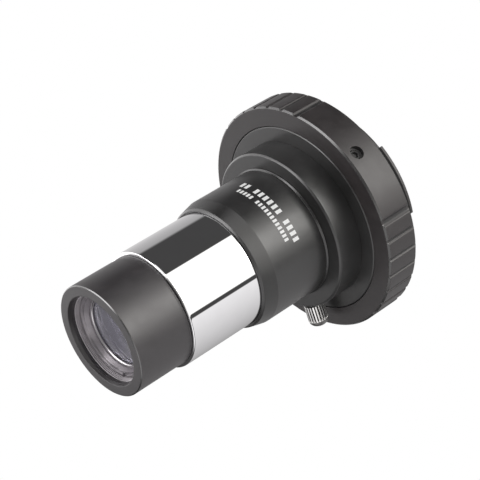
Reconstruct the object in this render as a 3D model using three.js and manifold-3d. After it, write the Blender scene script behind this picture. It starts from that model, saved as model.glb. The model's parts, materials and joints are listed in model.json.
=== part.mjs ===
// A 1.25 inch Barlow lens with a camera T-ring on its eyepiece end.
// Millimetres. +Z runs along the optical axis, from the camera side up to the lens cell.
// The origin is the centre of the bayonet's rear face, and -X points along the thumbscrew.

import * as THREE from 'three';
import { mergeVertices } from 'three/addons/utils/BufferGeometryUtils.js';
import Module from 'manifold-3d';

const wasm = await Module();
wasm.setup();

// ---------------------------------------------------------------- driving dimensions

const HEIGHT = 83.4;            // bayonet's rear face to the lens cell's front face
const SLIP = 0.1;               // radial clearance of a turning or sliding fit
const SEAT = 0.05;              // axial gap between pieces that are clamped face to face
const RIM_FACETS = 72;          // facets round the T-ring's rim
const SMOOTH = 48;              // facets round any other large turned piece
const FINE = 20;                // facets round a small turned piece
const LENS_FACETS = 36;         // facets round the pieces of the lens stack

// T-ring, from the camera side up
const FLANGE_Z = 4.6;           // camera flange, above the bayonet's rear face
const RIM_BACK_Z = 5.6;
const PLATE_TOP_Z = 6.6;
const T_FACE_Z = 15.6;          // 11.0 above the flange, the standard T-ring thickness
const RIM_R = 31.6;
const RIM_FACE_Z = T_FACE_Z - 0.1;
const PLATE_R = 29.4;
const THROAT_R = 23.2;
const NECK_R = 24.9;
const LUG_R = 26.4;
const LUG_HEIGHT = 1.6;
const LUG_SPAN = 43;            // degrees
const LUG_ANGLE = -77;          // degrees, centre of the first lug
const SEAM_R = 26.2;            // bore of the outer ring, round the threaded insert
const T_THREAD_R = 21.0;        // M42 thread
const SET_SCREW_Z = 11.95;
const SET_SCREW_ANGLE = -54.5;  // degrees, the first of three
const SET_SCREW_R = 1.5;
const HEX_SOCKET_R = 0.866;     // corner radius of a 1.5 mm hexagon
const GROOVE_ZONES = [62.5, 180, 297.5];  // degrees from the first set screw to each zone's middle
const GROOVES_PER_ZONE = 7;
const GROOVE_PITCH = 9.5;       // degrees
const GROOVE_DEPTH = 0.5;
const GROOVE_WIDTH = 1.5;
const END_GROOVE_WIDTH = 2.2;   // the first and last groove of a zone
const MOUNT_SCREW_RING_R = 27.3;
const MOUNT_SCREW_END_Z = 9.5;
const MOUNT_SCREW_R = 0.75;
const MOUNT_SCREW_HEAD_R = 1.35;
const MOUNT_SCREW_HEAD_Z = FLANGE_Z + 0.15;   // where the head's cone begins
const MOUNT_SCREW_ANGLE = -17;  // degrees, the first of three
const LOCK_HOLE_ANGLE = 13;     // degrees
const LOCK_HOLE_RING_R = 27.4;
const DOT_ANGLE = SET_SCREW_ANGLE + 137;  // the red index dot, beside the second set screw
const DOT_R = 0.9;

// eyepiece holder and body
const COLLAR_BACK_Z = 15.8;
const COLLAR_FRONT_Z = 23.4;
const COLLAR_R = 22.0;
const THREAD_END_Z = 10.4;
const EYEPIECE_R = 15.95;       // bore for a 31.75 eyepiece barrel
const HOLDER_NECK_R = 16.8;
const HOLDER_NECK_Z = 29.4;
const CLAMP_GROOVE_R = 17.7;
const CLAMP_HEIGHT = 4.2;
const THUMB_Z = 19.7;
const THUMB_SHAFT_R = 2.0;
const THUMB_HEAD_R = 2.77;
const THUMB_HEAD_IN = 22.5;     // distance of the head's inner end from the axis
const THUMB_HEAD_OUT = 29.3;
const KNURL_RIDGES = 22;
const KNURL_DEPTH = 0.22;
const PAD_OUT = 19.35;          // the soft pad's outer end, against the screw's tip
const BODY_R = 17.65;
const BODY_CONE_Z = 41.0;
const BODY_CONE_R = 16.75;      // at the cone's small end
const BODY_FRONT_Z = 45.2;
const BODY_FRONT_R = 16.3;
const SHOULDER_Z = BODY_FRONT_Z - 0.25;   // seat of the barrel, sunk in the body's front face

// nose barrel and lens cell
const BARREL_R = 31.75 / 2;
const BARREL_BORE_R = 13.6;
const BARREL_FOOT_Z = 37.1;
const BARREL_FOOT_R = 15.2;
const BARREL_FRONT_Z = 67.4;
const CELL_BACK_Z = 67.5;
const CELL_R = 15.05;
const CELL_THREAD_R = 14.1;     // M28.5 thread, less clearance
const CELL_THREAD_END_Z = 63.7;
const CELL_BORE_R = 11.5;
const MOUTH_R = 11.8;           // the wider mouth in front of the cell's bore
const MOUTH_DEPTH = 1.85;
const MOUTH_FLARE = 0.35;       // the steep flare that opens the mouth
const MOUTH_FLARE_DEPTH = 0.9;
const CELL_SEAT_R = 9.8;
const CELL_SEAT_Z = 71.5;
const LENS_R = CELL_BORE_R - SLIP;
const REAR_LENS_Z = 71.6;
const REAR_LENS_EDGE = 2.8;
const SPACER_Z = 74.45;
const SPACER_HEIGHT = 0.6;
const FRONT_LENS_Z = 75.1;
const FRONT_LENS_EDGE = 2.75;
const LENS_FLAT_R = 10.0;       // the ground flat outside the curved surface
const FRONT_DISH = 0.75;        // sag of each concave face of the front element
const REAR_DISH = 0.3;          // sag of the rear element's concave rear face
const REAR_BULGE = 0.6;         // rise of its convex front face
const RETAINER_Z = 77.95;
const RETAINER_TOP_Z = 80.4;
const RETAINER_BORE_R = 9.0;
const RETAINER_MOUTH_R = 10.4;
const RETAINER_LIP_R = 10.7;
const RETAINER_LIP = 0.6;
const SPANNER_SLOT = 1.4;

// edges of turned pieces
const CHAMFER = 0.4;
const FINE_CHAMFER = 0.3;
const BEVEL_IN = 0.55;          // the wide bevel at the front of the T-ring's rim
const BEVEL_DOWN = 0.8;

// ---------------------------------------------------------------- materials

function finish(color, roughness, metalness) {
  return new THREE.MeshStandardMaterial({ color, roughness, metalness });
}

const blackAnodised = finish(0x2b2a2b, 0.42, 0.6);
const matteBlack = finish(0x1c1c1d, 0.75, 0.3);
const chrome = finish(0xd9dadb, 0.06, 1.0);
const nickel = finish(0xc4c4c0, 0.22, 1.0);
const brass = finish(0xb08a45, 0.3, 1.0);
const blackSteel = finish(0x242426, 0.5, 0.7);
const nylon = finish(0xe6e4da, 0.6, 0.0);
const redPaint = finish(0xb3171b, 0.45, 0.0);
const coatedGlass = new THREE.MeshStandardMaterial({
  color: 0x9fb0c4, roughness: 0.03, metalness: 0.0, transparent: true, opacity: 0.35,
});

// ---------------------------------------------------------------- shape helpers

const radians = THREE.MathUtils.degToRad;

// A turned piece from its [radius, height] outline, listed anticlockwise.
// An outline that doesn't begin on the axis is closed back to its first point.
function turned(outline, facets = SMOOTH) {
  const points = outline.map(([r, z]) => new THREE.Vector2(r, z));
  if (outline[0][0] > 0) points.push(points[0].clone());
  return new THREE.LatheGeometry(points, facets).rotateX(Math.PI / 2);
}

// Heights of a shallow spherical surface, from the axis out to its rim.
function dish(centreZ, rimZ, rimR, steps = 3) {
  const rise = rimZ - centreZ;
  return Array.from({ length: steps + 1 }, (_, i) => {
    const r = (rimR * i) / steps;
    return [r, centreZ + rise * (r / rimR) ** 2];
  });
}

// Turns a piece built along +Z so that it points outward at an angle, at height z.
function aimOutward(geometry, angle, z) {
  return geometry.rotateY(Math.PI / 2).rotateZ(radians(angle)).translate(0, 0, z);
}

// A rod along +Z between two heights.
function rod(radius, from, to, facets = FINE) {
  const length = to - from;
  const geometry = new THREE.CylinderGeometry(radius, radius, length, facets);
  return geometry.rotateX(Math.PI / 2).translate(0, 0, from + length / 2);
}

function ringSector(innerR, outerR, fromDeg, toDeg, height, facets) {
  const shape = new THREE.Shape();
  shape.absarc(0, 0, outerR, radians(fromDeg), radians(toDeg), false);
  shape.absarc(0, 0, innerR, radians(toDeg), radians(fromDeg), true);
  return new THREE.ExtrudeGeometry(shape, {
    depth: height, bevelEnabled: false, curveSegments: facets,
  });
}

function toSolid(geometry) {
  const bare = geometry.clone();
  bare.deleteAttribute('normal');
  bare.deleteAttribute('uv');
  const merged = mergeVertices(bare, 1e-4);
  const corners = merged.index.array;
  const kept = [];
  for (let i = 0; i < corners.length; i += 3) {
    const [a, b, c] = [corners[i], corners[i + 1], corners[i + 2]];
    if (a !== b && b !== c && c !== a) kept.push(a, b, c);
  }
  return new wasm.Manifold(new wasm.Mesh({
    numProp: 3,
    vertProperties: merged.attributes.position.array,
    triVerts: new Uint32Array(kept),
  }));
}

function toGeometry(solid) {
  const mesh = solid.getMesh();
  const geometry = new THREE.BufferGeometry();
  geometry.setAttribute('position', new THREE.BufferAttribute(mesh.vertProperties, 3));
  geometry.setIndex(new THREE.BufferAttribute(mesh.triVerts, 1));
  geometry.computeVertexNormals();
  return geometry;
}

function cut(geometry, cutters) {
  const start = toSolid(geometry);
  return toGeometry(cutters.reduce((solid, cutter) => solid.subtract(toSolid(cutter)), start));
}

function join(geometry, additions) {
  const start = toSolid(geometry);
  return toGeometry(additions.reduce((solid, extra) => solid.add(toSolid(extra)), start));
}

function thirds(firstAngle) {
  return [0, 1, 2].map((i) => firstAngle + 120 * i);
}

// ---------------------------------------------------------------- lens cell

function lensCell() {
  return turned([
    [CELL_SEAT_R, CELL_THREAD_END_Z],
    [CELL_THREAD_R - CHAMFER, CELL_THREAD_END_Z],
    [CELL_THREAD_R, CELL_THREAD_END_Z + CHAMFER],
    [CELL_THREAD_R, CELL_BACK_Z],
    [CELL_R - FINE_CHAMFER, CELL_BACK_Z],
    [CELL_R, CELL_BACK_Z + FINE_CHAMFER],
    [CELL_R, HEIGHT - FINE_CHAMFER],
    [CELL_R - FINE_CHAMFER, HEIGHT],
    [MOUTH_R + MOUTH_FLARE, HEIGHT],
    [MOUTH_R, HEIGHT - MOUTH_FLARE_DEPTH],
    [MOUTH_R, HEIGHT - MOUTH_DEPTH],
    [CELL_BORE_R, HEIGHT - MOUTH_DEPTH],
    [CELL_BORE_R, CELL_SEAT_Z],
    [CELL_SEAT_R, CELL_SEAT_Z],
  ]);
}

function lensRetainingRing() {
  const ring = turned([
    [RETAINER_BORE_R, RETAINER_Z],
    [LENS_R, RETAINER_Z],
    [LENS_R, RETAINER_TOP_Z],
    [RETAINER_LIP_R, RETAINER_TOP_Z],
    [RETAINER_MOUTH_R, RETAINER_TOP_Z - RETAINER_LIP],
    [RETAINER_BORE_R, RETAINER_Z + CHAMFER],
  ], LENS_FACETS);
  const spannerSlot = new THREE.BoxGeometry(2 * CELL_R, SPANNER_SLOT, 1.0);
  spannerSlot.translate(0, 0, RETAINER_TOP_Z);
  return cut(ring, [spannerSlot]);
}

function frontLensElement() {
  const top = FRONT_LENS_Z + FRONT_LENS_EDGE;
  return turned([
    ...dish(FRONT_LENS_Z + FRONT_DISH, FRONT_LENS_Z, LENS_FLAT_R),
    [LENS_R, FRONT_LENS_Z],
    [LENS_R, top],
    ...dish(top - FRONT_DISH, top, LENS_FLAT_R).reverse(),
  ], LENS_FACETS);
}

function rearLensElement() {
  const top = REAR_LENS_Z + REAR_LENS_EDGE;
  return turned([
    ...dish(REAR_LENS_Z + REAR_DISH, REAR_LENS_Z, CELL_SEAT_R - 0.2),
    [LENS_R, REAR_LENS_Z],
    [LENS_R, top],
    ...dish(top + REAR_BULGE, top, LENS_FLAT_R).reverse(),
  ], LENS_FACETS);
}

function elementSpacer() {
  const innerR = LENS_FLAT_R + 0.2;
  const outerR = LENS_R - SEAT;
  return turned([
    [innerR, SPACER_Z],
    [outerR, SPACER_Z],
    [outerR, SPACER_Z + SPACER_HEIGHT],
    [innerR, SPACER_Z + SPACER_HEIGHT],
  ], LENS_FACETS);
}

// ---------------------------------------------------------------- barrel and body

function noseBarrel() {
  const socketR = CELL_THREAD_R + SLIP;
  const socketEndZ = CELL_THREAD_END_Z - 1.0;
  return turned([
    [BARREL_BORE_R, BARREL_FOOT_Z],
    [BARREL_FOOT_R, BARREL_FOOT_Z],
    [BARREL_FOOT_R, SHOULDER_Z + SEAT],
    [BARREL_R, SHOULDER_Z + SEAT],
    [BARREL_R, BARREL_FRONT_Z - FINE_CHAMFER],
    [BARREL_R - FINE_CHAMFER, BARREL_FRONT_Z],
    [socketR, BARREL_FRONT_Z],
    [socketR, socketEndZ],
    [BARREL_BORE_R, socketEndZ - (socketR - BARREL_BORE_R)],
  ]);
}

function bodyTube() {
  const stopZ = BARREL_FOOT_Z - 0.7;     // an eyepiece's barrel stops here
  const socketEndZ = HOLDER_NECK_Z + 0.2;
  return turned([
    [HOLDER_NECK_R + SLIP, COLLAR_FRONT_Z + SEAT],
    [BODY_R, COLLAR_FRONT_Z + SEAT],
    [BODY_R, BODY_CONE_Z],
    [BODY_CONE_R, BODY_FRONT_Z - CHAMFER],
    [BODY_FRONT_R, BODY_FRONT_Z],
    [BARREL_R + SLIP, BODY_FRONT_Z],
    [BARREL_R + SLIP, SHOULDER_Z],
    [BARREL_FOOT_R + SLIP, SHOULDER_Z],
    [BARREL_FOOT_R + SLIP, stopZ],
    [EYEPIECE_R + SLIP, stopZ],
    [EYEPIECE_R + SLIP, socketEndZ],
    [HOLDER_NECK_R + SLIP, socketEndZ],
  ]);
}

function eyepieceHolder() {
  const threadR = T_THREAD_R - SLIP;
  const grooveBackZ = THUMB_Z - CLAMP_HEIGHT / 2 - 0.2;
  const grooveFrontZ = THUMB_Z + CLAMP_HEIGHT / 2 + 0.2;
  const collar = turned([
    [EYEPIECE_R, THREAD_END_Z],
    [threadR - CHAMFER, THREAD_END_Z],
    [threadR, THREAD_END_Z + CHAMFER],
    [threadR, COLLAR_BACK_Z],
    [COLLAR_R - CHAMFER, COLLAR_BACK_Z],
    [COLLAR_R, COLLAR_BACK_Z + CHAMFER],
    [COLLAR_R, COLLAR_FRONT_Z - CHAMFER],
    [COLLAR_R - CHAMFER, COLLAR_FRONT_Z],
    [HOLDER_NECK_R, COLLAR_FRONT_Z],
    [HOLDER_NECK_R, HOLDER_NECK_Z],
    [EYEPIECE_R, HOLDER_NECK_Z],
    [EYEPIECE_R, grooveFrontZ],
    [CLAMP_GROOVE_R, grooveFrontZ],
    [CLAMP_GROOVE_R, grooveBackZ],
    [EYEPIECE_R, grooveBackZ],
  ]);
  const screwHole = rod(THUMB_SHAFT_R + SLIP, CLAMP_GROOVE_R - 1, COLLAR_R + 1);
  return cut(collar, [aimOutward(screwHole, 180, THUMB_Z)]);
}

function compressionRing() {
  const split = 4;  // degrees, half the gap in the ring, on the side away from the screw
  const innerR = EYEPIECE_R + 0.2;
  const outerR = CLAMP_GROOVE_R - 0.25;
  const ring = ringSector(innerR, outerR, split, 360 - split, CLAMP_HEIGHT, 40);
  return ring.translate(0, 0, THUMB_Z - CLAMP_HEIGHT / 2);
}

// ---------------------------------------------------------------- thumbscrew

function knurledOutline(ridges, crestR, rootR) {
  const shape = new THREE.Shape();
  for (let i = 0; i < ridges * 2; i += 1) {
    const angle = (Math.PI * i) / ridges;
    const r = i % 2 ? rootR : crestR;
    const draw = i ? 'lineTo' : 'moveTo';
    shape[draw](r * Math.cos(angle), r * Math.sin(angle));
  }
  shape.closePath();
  return shape;
}

function thumbscrew() {
  const edge = 0.5;
  const outline = knurledOutline(KNURL_RIDGES, THUMB_HEAD_R, THUMB_HEAD_R - KNURL_DEPTH);
  const head = new THREE.ExtrudeGeometry(outline, {
    depth: THUMB_HEAD_OUT - THUMB_HEAD_IN - 2 * edge,
    bevelThickness: edge, bevelSize: edge, bevelOffset: -edge, bevelSegments: 2,
  });
  head.translate(0, 0, THUMB_HEAD_IN + edge);
  const shaft = rod(THUMB_SHAFT_R, PAD_OUT + 0.15, THUMB_HEAD_IN + 1);
  return aimOutward(join(head, [shaft]), 180, THUMB_Z);
}

function thumbscrewPad() {
  const pad = rod(THUMB_SHAFT_R - SLIP, CLAMP_GROOVE_R + SEAT, PAD_OUT);
  return aimOutward(pad, 180, THUMB_Z);
}

// ---------------------------------------------------------------- T-ring

function tRingInsert() {
  const outerR = SEAM_R - SLIP;
  const backZ = PLATE_TOP_Z + 0.2;
  const screwGroove = 1.2;
  return turned([
    [T_THREAD_R, backZ],
    [outerR - CHAMFER, backZ],
    [outerR, backZ + CHAMFER],
    [outerR, SET_SCREW_Z - screwGroove],
    [outerR - screwGroove, SET_SCREW_Z],
    [outerR, SET_SCREW_Z + screwGroove],
    [outerR, T_FACE_Z - FINE_CHAMFER],
    [outerR - FINE_CHAMFER, T_FACE_Z],
    [T_THREAD_R + CHAMFER, T_FACE_Z],
    [T_THREAD_R, T_FACE_Z - CHAMFER],
  ]);
}

// A groove along the rim with 45 degree walls, from a prism that stands past the rim all round.
function gripGroove(angle, width) {
  const outside = 1;
  const floorR = RIM_R - GROOVE_DEPTH;
  const mouth = width / 2 + outside;
  const floor = width / 2 - GROOVE_DEPTH;
  const shape = new THREE.Shape([
    new THREE.Vector2(floorR, -floor),
    new THREE.Vector2(RIM_R + outside, -mouth),
    new THREE.Vector2(RIM_R + outside, mouth),
    new THREE.Vector2(floorR, floor),
  ]);
  const depth = RIM_FACE_Z - RIM_BACK_Z + 2 * outside;
  const prism = new THREE.ExtrudeGeometry(shape, { depth, bevelEnabled: false });
  return prism.rotateZ(radians(angle)).translate(0, 0, RIM_BACK_Z - outside);
}

function gripGrooves() {
  const last = GROOVES_PER_ZONE - 1;
  return GROOVE_ZONES.flatMap((middle) =>
    Array.from({ length: GROOVES_PER_ZONE }, (_, i) => {
      const angle = SET_SCREW_ANGLE + middle + (i - last / 2) * GROOVE_PITCH;
      return gripGroove(angle, i % last ? GROOVE_WIDTH : END_GROOVE_WIDTH);
    }));
}

function atAngle(geometry, radius, angle) {
  return geometry.translate(radius, 0, 0).rotateZ(radians(angle));
}

function tRingBody() {
  const recessR = PLATE_R + SLIP;
  const recessZ = PLATE_TOP_Z + SEAT;
  const rim = turned([
    [SEAM_R, recessZ],
    [recessR, recessZ],
    [recessR, RIM_BACK_Z],
    [RIM_R - CHAMFER, RIM_BACK_Z],
    [RIM_R, RIM_BACK_Z + CHAMFER],
    [RIM_R, RIM_FACE_Z - BEVEL_DOWN],
    [RIM_R - BEVEL_IN, RIM_FACE_Z],
    [SEAM_R, RIM_FACE_Z],
  ], RIM_FACETS);
  const screwHoles = thirds(SET_SCREW_ANGLE).map((angle) =>
    aimOutward(rod(SET_SCREW_R, SEAM_R - 1, RIM_R + 1), angle, SET_SCREW_Z));
  const mountHole = () => rod(MOUNT_SCREW_R + SLIP, PLATE_TOP_Z - 0.5, MOUNT_SCREW_END_Z + 0.4, 12);
  const mountHoles = thirds(MOUNT_SCREW_ANGLE).map((angle) =>
    atAngle(mountHole(), MOUNT_SCREW_RING_R, angle));
  const dotSeat = aimOutward(rod(DOT_R + SLIP, RIM_R - 0.5, RIM_R + 1), DOT_ANGLE, SET_SCREW_Z);
  return cut(rim, [...gripGrooves(), ...screwHoles, ...mountHoles, dotSeat]);
}

function indexDot() {
  return aimOutward(rod(DOT_R, RIM_R - 0.45, RIM_R - 0.1), DOT_ANGLE, SET_SCREW_Z);
}

// The through hole for a mount screw, with its countersink open to the camera side.
function countersink() {
  const holeR = MOUNT_SCREW_R + SLIP;
  const mouthZ = FLANGE_Z - 0.7;
  const mouthR = MOUNT_SCREW_HEAD_R + SLIP + (MOUNT_SCREW_HEAD_Z - mouthZ);
  return turned([
    [0, mouthZ],
    [mouthR, mouthZ],
    [holeR, mouthZ + (mouthR - holeR)],
    [holeR, PLATE_TOP_Z + 1],
    [0, PLATE_TOP_Z + 1],
  ], 16);
}

function bayonetMount() {
  const plate = turned([
    [THROAT_R, 0],
    [NECK_R - FINE_CHAMFER, 0],
    [NECK_R, FINE_CHAMFER],
    [NECK_R, FLANGE_Z],
    [PLATE_R - FINE_CHAMFER, FLANGE_Z],
    [PLATE_R, FLANGE_Z + FINE_CHAMFER],
    [PLATE_R, PLATE_TOP_Z],
    [THROAT_R, PLATE_TOP_Z],
  ]);
  const rootR = NECK_R - 0.8;
  const lugs = thirds(LUG_ANGLE - LUG_SPAN / 2).map((start) =>
    ringSector(rootR, LUG_R, start, start + LUG_SPAN, LUG_HEIGHT, 10));
  const screwHoles = thirds(MOUNT_SCREW_ANGLE).map((angle) =>
    atAngle(countersink(), MOUNT_SCREW_RING_R, angle));
  const lockPinHole = rod(1.4, FLANGE_Z - 1, FLANGE_Z + 1.4);
  const lockHole = atAngle(lockPinHole, LOCK_HOLE_RING_R, LOCK_HOLE_ANGLE);
  return cut(join(plate, lugs), [...screwHoles, lockHole]);
}

function mountScrew(angle) {
  const topZ = FLANGE_Z + SEAT;
  const coneHeight = MOUNT_SCREW_HEAD_R - MOUNT_SCREW_R;
  const screw = turned([
    [0, topZ],
    [MOUNT_SCREW_HEAD_R, topZ],
    [MOUNT_SCREW_HEAD_R, MOUNT_SCREW_HEAD_Z],
    [MOUNT_SCREW_R, MOUNT_SCREW_HEAD_Z + coneHeight],
    [MOUNT_SCREW_R, MOUNT_SCREW_END_Z],
    [0, MOUNT_SCREW_END_Z],
  ], 16);
  const slot = new THREE.BoxGeometry(3 * MOUNT_SCREW_HEAD_R, 0.4, 0.7).translate(0, 0, topZ);
  return atAngle(cut(screw, [slot]), MOUNT_SCREW_RING_R, angle);
}

function setScrew(angle) {
  const radius = SET_SCREW_R - SLIP;
  const tip = SEAM_R - 1.0;
  const outerEnd = RIM_R - 1.2;
  const grub = turned([
    [0, tip],
    [radius, tip + radius],
    [radius, outerEnd - FINE_CHAMFER],
    [radius - FINE_CHAMFER, outerEnd],
    [0, outerEnd],
  ], FINE);
  const hexSocket = rod(HEX_SOCKET_R, outerEnd - 1.5, outerEnd + 1, 6);
  return aimOutward(cut(grub, [hexSocket]), angle, SET_SCREW_Z);
}

// ---------------------------------------------------------------- assembly

const barlowLens = new THREE.Group();

function add(name, geometry, material) {
  const mesh = new THREE.Mesh(geometry, material);
  mesh.name = name;
  barlowLens.add(mesh);
}

add('lens_cell', lensCell(), blackAnodised);
add('lens_retaining_ring', lensRetainingRing(), matteBlack);
add('front_lens_element', frontLensElement(), coatedGlass);
add('element_spacer', elementSpacer(), matteBlack);
add('rear_lens_element', rearLensElement(), coatedGlass);
add('nose_barrel', noseBarrel(), chrome);
add('body_tube', bodyTube(), blackAnodised);
add('eyepiece_holder', eyepieceHolder(), blackAnodised);
add('compression_ring', compressionRing(), brass);
add('thumbscrew', thumbscrew(), nickel);
add('thumbscrew_pad', thumbscrewPad(), nylon);
add('t_ring_insert', tRingInsert(), blackAnodised);
add('t_ring_body', tRingBody(), blackAnodised);
add('bayonet_mount', bayonetMount(), blackAnodised);
add('index_dot', indexDot(), redPaint);
thirds(SET_SCREW_ANGLE).forEach((angle, i) => {
  add(`set_screw_${i + 1}`, setScrew(angle), blackSteel);
});
thirds(MOUNT_SCREW_ANGLE).forEach((angle, i) => {
  add(`mount_screw_${i + 1}`, mountScrew(angle), nickel);
});

export default barlowLens;
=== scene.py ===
import json
import math

import bmesh
import bpy
import numpy as np
from mathutils import Matrix, Vector

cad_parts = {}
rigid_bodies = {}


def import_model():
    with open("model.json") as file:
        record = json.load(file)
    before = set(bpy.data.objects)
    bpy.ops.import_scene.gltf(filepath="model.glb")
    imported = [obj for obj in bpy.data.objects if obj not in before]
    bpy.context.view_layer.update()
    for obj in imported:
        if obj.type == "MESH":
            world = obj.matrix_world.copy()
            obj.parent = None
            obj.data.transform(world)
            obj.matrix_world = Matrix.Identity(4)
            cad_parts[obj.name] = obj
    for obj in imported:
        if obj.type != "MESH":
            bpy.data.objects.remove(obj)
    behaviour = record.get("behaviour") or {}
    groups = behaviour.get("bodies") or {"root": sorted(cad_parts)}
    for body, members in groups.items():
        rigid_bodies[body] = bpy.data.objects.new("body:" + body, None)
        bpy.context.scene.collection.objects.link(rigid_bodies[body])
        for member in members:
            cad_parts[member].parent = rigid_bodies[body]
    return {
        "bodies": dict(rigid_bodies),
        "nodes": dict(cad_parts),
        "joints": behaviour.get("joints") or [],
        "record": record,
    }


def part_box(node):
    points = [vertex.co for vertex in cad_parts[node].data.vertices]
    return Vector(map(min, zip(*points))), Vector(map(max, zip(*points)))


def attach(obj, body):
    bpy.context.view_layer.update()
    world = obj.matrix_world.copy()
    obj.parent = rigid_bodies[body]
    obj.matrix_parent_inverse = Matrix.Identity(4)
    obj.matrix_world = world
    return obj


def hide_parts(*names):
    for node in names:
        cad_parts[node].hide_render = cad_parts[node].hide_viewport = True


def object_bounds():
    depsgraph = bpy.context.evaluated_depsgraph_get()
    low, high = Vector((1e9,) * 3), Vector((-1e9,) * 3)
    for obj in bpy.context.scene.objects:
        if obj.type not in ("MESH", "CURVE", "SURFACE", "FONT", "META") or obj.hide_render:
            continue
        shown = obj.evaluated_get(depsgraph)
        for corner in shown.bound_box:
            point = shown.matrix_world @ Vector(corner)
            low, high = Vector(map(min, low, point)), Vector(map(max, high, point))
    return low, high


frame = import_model()
cad_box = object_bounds()

# A 1.25 inch Barlow lens with a camera T-ring, standing on its camera side with the lens cell up.
# Lengths are in millimetres and are scaled to metres when a mesh is made. Angles are in degrees.

MM = 0.001
MERGE_DISTANCE = 2e-7   # metres; corners closer than this become one

# Mesh columns round a turned piece.
TUBE_COLUMNS = 256
COLUMNS = 192
LENS_COLUMNS = 96
SCREW_COLUMNS = 64
SMALL_COLUMNS = 48

SLIP = 0.1           # radial clearance of a running fit
EDGE = 0.07          # rounding of a machined edge
FINE_EDGE = 0.03     # rounding of an edge that is kept crisp
GUARD = 0.25         # how far past a rounded edge its wear reaches
SIDE_SHARE = 0.4     # the most of a side that the rounding at one end may take
THREAD_DEPTH = 0.6   # depth of a thread, as a share of its pitch


def span(node):
    """(lowest z, highest z, largest distance from the z axis along x or y) of a CAD node."""
    low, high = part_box(node)
    reach = max(high.x, high.y, -low.x, -low.y)
    return low.z / MM, high.z / MM, reach / MM


def middle_of(node):
    low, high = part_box(node)
    return (low + high) / 2 / MM


def joint(name):
    return next(j for j in frame["joints"] if j["name"] == name)


def mount_height(name):
    mounts = frame["record"]["mounts"]
    return next(m["pos_m"][2] for m in mounts if m["name"] == name) / MM


def angle_of(vector):
    return math.degrees(math.atan2(vector[1], vector[0]))


CELL_BACK, CELL_FRONT, CELL_R = span("lens_cell")
RETAINER_BACK, RETAINER_TOP, RETAINER_R = span("lens_retaining_ring")
BARREL_BACK, BARREL_FRONT, BARREL_R = span("nose_barrel")
BODY_BACK, BODY_FRONT, BODY_R = span("body_tube")
HOLDER_BACK, HOLDER_FRONT, COLLAR_R = span("eyepiece_holder")
INSERT_BACK, INSERT_FRONT, INSERT_R = span("t_ring_insert")
RIM_BACK, RIM_FRONT, RIM_R = span("t_ring_body")
MOUNT_BACK, MOUNT_TOP, PLATE_R = span("bayonet_mount")
FLANGE = mount_height("camera_flange")
SHOULDER = mount_height("barrel_shoulder")
BORE_R = span("front_lens_element")[2] + SLIP
SET_SCREW_ANGLES = [angle_of(joint(f"set_screw_{i}_travel")["axis"]) for i in (1, 2, 3)]


# ------------------------ outlines

def arc_corner(before, corner, after, radius):
    """Points of a rounded corner with wear marks: the arc, and a guard on each side that is long enough.
    Only corners that stick out are worn."""
    p, a, b = np.array(corner), np.array(before), np.array(after)
    back, ahead = a - p, b - p
    room_back, room_ahead = np.linalg.norm(back), np.linalg.norm(ahead)
    back, ahead = back / room_back, ahead / room_ahead
    half = math.acos(float(np.clip(back @ ahead, -1, 1))) / 2
    reach = min(radius / math.tan(max(half, 0.05)), SIDE_SHARE * room_back, SIDE_SHARE * room_ahead)
    turn = back[0] * ahead[1] - back[1] * ahead[0]
    wear = 1.0 if turn > 0 else 0.0
    start, end = p + back * reach, p + ahead * reach
    points = []
    if room_back > 3 * (reach + GUARD):
        points.append((*(start + back * GUARD), 0.0))
    for t in (0.0, 0.33, 0.67, 1.0):
        curve = (1 - t) ** 2 * start + 2 * t * (1 - t) * p + t ** 2 * end
        points.append((*curve, wear))
    if room_ahead > 3 * (reach + GUARD):
        points.append((*(end + ahead * GUARD), 0.0))
    return points


class Thread:
    """A helical thread along a stretch of an outline, cut between two radii."""

    def __init__(self, crest, pitch, start, end, inside=False):
        self.pitch = pitch
        self.low, self.high = min(start, end), max(start, end)
        self.upward = end > start
        depth = pitch * THREAD_DEPTH
        self.crest = crest
        self.root = crest + depth if inside else crest - depth

    def ends(self):
        order = (self.low, self.high) if self.upward else (self.high, self.low)
        return [(self.root, z) for z in order]

    def rows(self, turn):
        """One (radii, heights) pair for each row; turn is the share of a full turn of each column.
        The thread fades out over the last part of a pitch at both ends."""
        fade = 0.6 * self.pitch
        shares = ((0.0, self.root), (0.14, self.root), (0.5, self.crest), (0.64, self.crest))
        turns = math.ceil((self.high - self.low) / self.pitch) + 1
        made = []
        for whole in range(turns + 1):
            for share, r in shares:
                z = self.low + (whole + share - 1 + turn) * self.pitch
                z = np.clip(z, self.low, self.high)
                share_cut = np.clip(np.minimum(z - self.low, self.high - z) / fade, 0, 1)
                radii = self.root + (r - self.root) * share_cut
                made.append((radii, z))
        return made if self.upward else made[::-1]


def outline_rows(outline, turn):
    """Rows of (radii, heights, wear) round a closed outline, listed anticlockwise in (r, z). Its items
    are a Thread, [r, z] with the usual rounding, or [r, z, rounding]."""
    corners = []
    for item in outline:
        if isinstance(item, Thread):
            first, last = item.ends()
            corners += [(first, None), (last, item)]
        else:
            corners.append(((item[0], item[1]), item[2] if len(item) > 2 else EDGE))
    rows = []
    count = len(corners)
    for i, (point, kind) in enumerate(corners):
        thread_next = isinstance(corners[(i + 1) % count][1], Thread)
        if isinstance(kind, Thread):
            rows += [(r, z, 0.0) for r, z in kind.rows(turn)]
            continue
        if thread_next or kind is None or kind == 0 or point[0] == 0:
            rows.append((np.full_like(turn, point[0]), np.full_like(turn, point[1]), 0.0))
            continue
        before, after = corners[i - 1][0], corners[(i + 1) % count][0]
        for r, z, wear in arc_corner(before, point, after, kind):
            rows.append((np.full_like(turn, r), np.full_like(turn, z), wear))
    return rows


# ------------------------ meshes

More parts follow.
